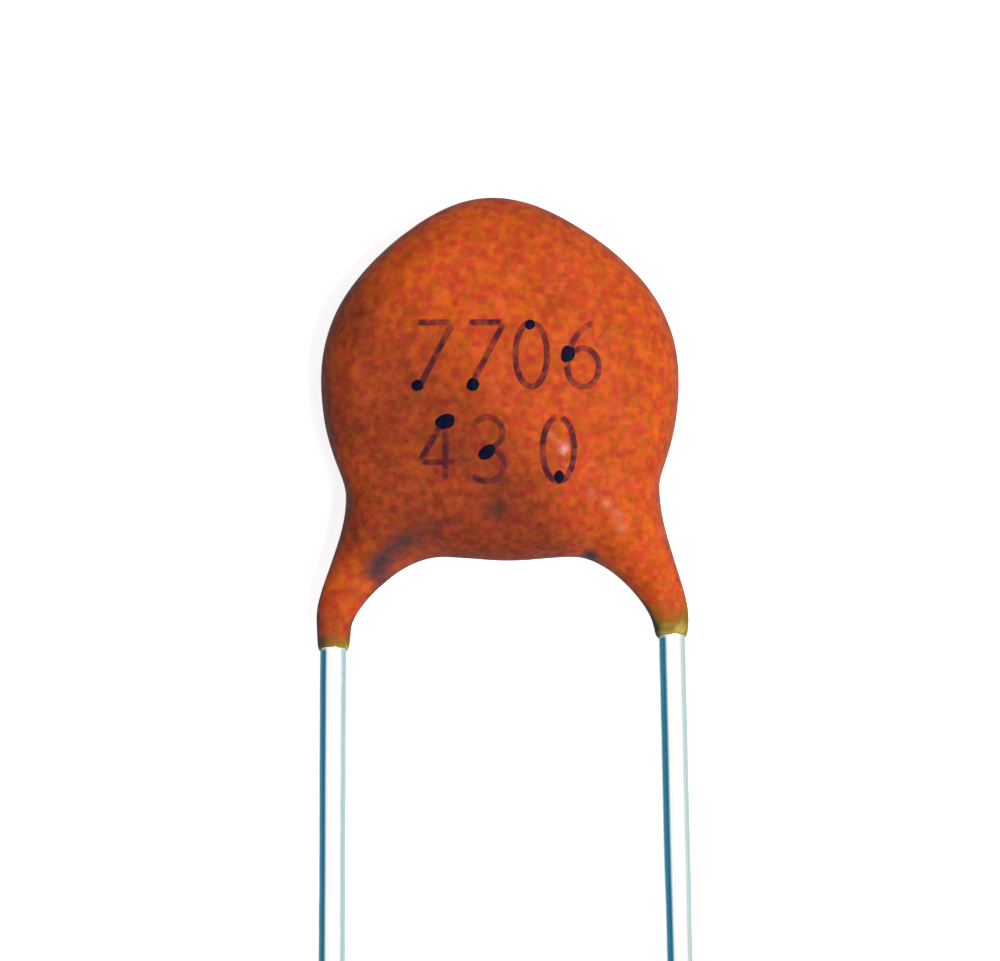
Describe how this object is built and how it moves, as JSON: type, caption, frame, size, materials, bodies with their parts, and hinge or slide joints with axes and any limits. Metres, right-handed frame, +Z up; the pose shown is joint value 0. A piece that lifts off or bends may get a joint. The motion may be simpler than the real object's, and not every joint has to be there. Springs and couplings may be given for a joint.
{
  "type": "ceramic disc capacitor",
  "caption": "Resin-dipped ceramic disc capacitor with straight tinned wire leads, lying flat on its back, for soldering into a circuit board.",
  "frame": {"origin": "on the surface the part lies on, under the middle of the part's bounding box", "axes": "+Z up, out of the front face; +Y from the wires' ends towards the disc; +X to the right seen from the front"},
  "size_m": [0.009, 0.035, 0.0031],
  "materials": {
    "dipped_resin": "semi-matt orange-brown dipped phenolic resin, finely speckled",
    "dielectric_ceramic": "sintered, matt",
    "fired_silver": "fired silver film, matt white",
    "solder": "dull solder",
    "tinned_wire": "bright tinned copper, drawn",
    "stamping_ink": "faded purple-brown stamping ink with small dark blue blots, on the front of the dipped resin only"
  },
  "bodies": {
    "root": {"coating": "dipped_resin", "ceramic_disc": "dielectric_ceramic", "front_electrode": "fired_silver", "back_electrode": "fired_silver", "front_solder": "solder", "back_solder": "solder", "front_lead": "tinned_wire", "back_lead": "tinned_wire"}
  },
  "joints": []
}
